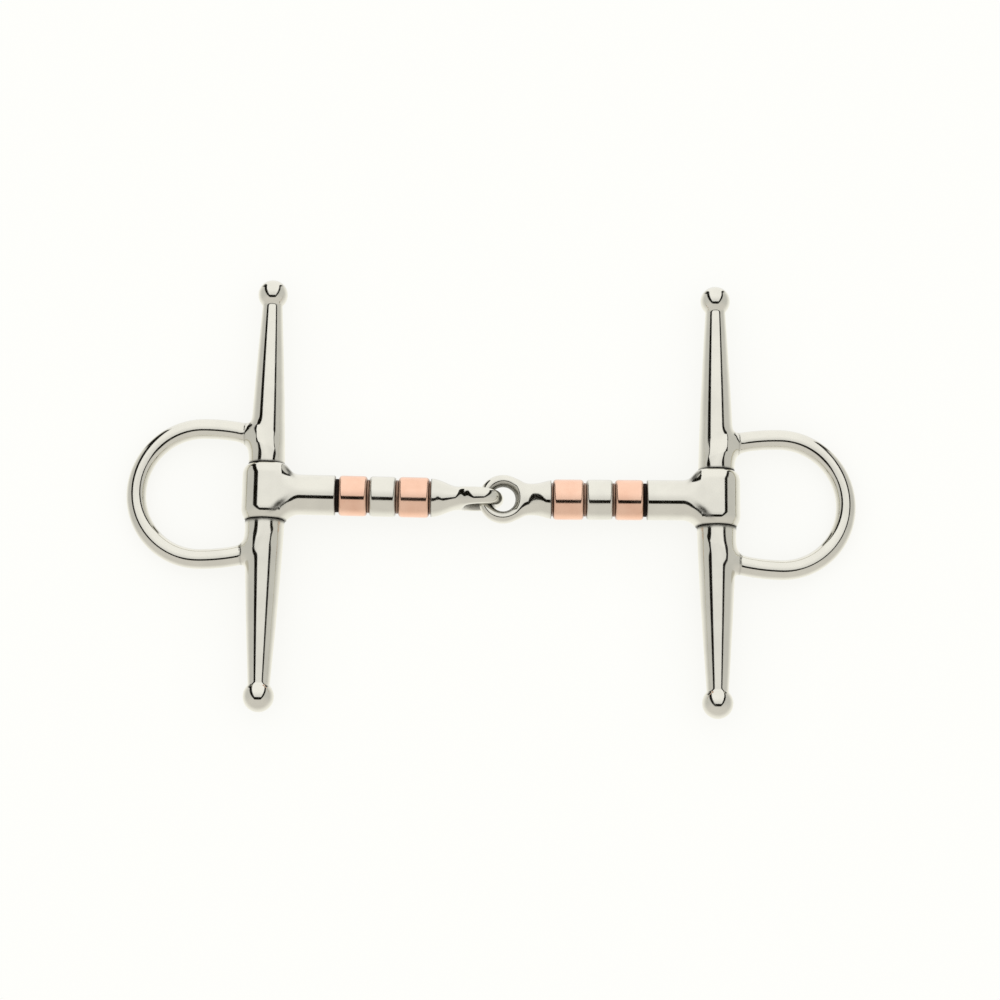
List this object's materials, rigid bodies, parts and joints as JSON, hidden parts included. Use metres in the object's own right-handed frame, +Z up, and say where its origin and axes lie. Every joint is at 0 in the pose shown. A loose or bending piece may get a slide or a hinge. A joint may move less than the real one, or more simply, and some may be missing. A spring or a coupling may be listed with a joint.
{
  "type": "snaffle bit",
  "caption": "Full-cheek snaffle bit: jointed mouthpiece with copper and steel rollers, and swivelling cheeks with ball-ended arms and a round rein ring.",
  "frame": {"origin": "centre of the footprint, on the surface that the bit lies on", "axes": "+X along the mouthpiece towards the right cheek, +Y along the cheeks towards the upper arms, +Z up from the surface"},
  "size_m": [0.2536, 0.153, 0.0171],
  "materials": {
    "polished_steel": "mirror-polished stainless steel with fine polishing scratches",
    "copper": null
  },
  "bodies": {
    "left_arm": {"left_cannon": "polished_steel", "left_roller_spindle": "polished_steel", "left_link_eye": "polished_steel"},
    "left_cheek": {"left_upper_arm": "polished_steel", "left_lower_arm": "polished_steel", "left_ring": "polished_steel", "left_cheek_pin": "polished_steel"},
    "left_outer_roller": {"left_outer_copper_roller": "copper"},
    "left_middle_roller": {"left_steel_roller": "polished_steel"},
    "left_inner_roller": {"left_inner_copper_roller": "copper"},
    "right_arm": {"right_cannon": "polished_steel", "right_roller_spindle": "polished_steel", "right_link_eye": "polished_steel"},
    "right_cheek": {"right_upper_arm": "polished_steel", "right_lower_arm": "polished_steel", "right_ring": "polished_steel", "right_cheek_pin": "polished_steel"},
    "right_outer_roller": {"right_outer_copper_roller": "copper"},
    "right_middle_roller": {"right_steel_roller": "polished_steel"},
    "right_inner_roller": {"right_inner_copper_roller": "copper"}
  },
  "joints": [
    {"name": "centre_joint", "type": "hinge", "parent": "left_arm", "child": "right_arm", "pos_m": [-0.0023, -0.00075, 0.00858], "axis": [-0.0096, 1, 0], "range_deg": [-135, 135]},
    {"name": "left_cheek_swivel", "type": "hinge", "parent": "left_arm", "child": "left_cheek", "pos_m": [-0.07815, 0.00002, 0.00826], "axis": [0.0096, 1, 0], "range_deg": [-158, 170]},
    {"name": "right_cheek_swivel", "type": "hinge", "parent": "right_arm", "child": "right_cheek", "pos_m": [0.07815, 0.00002, 0.00826], "axis": [0.0096, -1, 0], "range_deg": [-158, 170]},
    {"name": "left_outer_roller_spin", "type": "hinge", "parent": "left_arm", "child": "left_outer_roller", "pos_m": [-0.07815, 0.00002, 0.00826], "axis": [0.9999, -0.0096, 0.0039], "continuous": true},
    {"name": "left_middle_roller_spin", "type": "hinge", "parent": "left_arm", "child": "left_middle_roller", "pos_m": [-0.07815, 0.00002, 0.00826], "axis": [0.9999, -0.0096, 0.0039], "continuous": true},
    {"name": "left_inner_roller_spin", "type": "hinge", "parent": "left_arm", "child": "left_inner_roller", "pos_m": [-0.07815, 0.00002, 0.00826], "axis": [0.9999, -0.0096, 0.0039], "continuous": true},
    {"name": "right_outer_roller_spin", "type": "hinge", "parent": "right_arm", "child": "right_outer_roller", "pos_m": [0.07815, 0.00002, 0.00826], "axis": [-0.9999, -0.0096, 0.0039], "continuous": true},
    {"name": "right_middle_roller_spin", "type": "hinge", "parent": "right_arm", "child": "right_middle_roller", "pos_m": [0.07815, 0.00002, 0.00826], "axis": [-0.9999, -0.0096, 0.0039], "continuous": true},
    {"name": "right_inner_roller_spin", "type": "hinge", "parent": "right_arm", "child": "right_inner_roller", "pos_m": [0.07815, 0.00002, 0.00826], "axis": [-0.9999, -0.0096, 0.0039], "continuous": true}
  ]
}
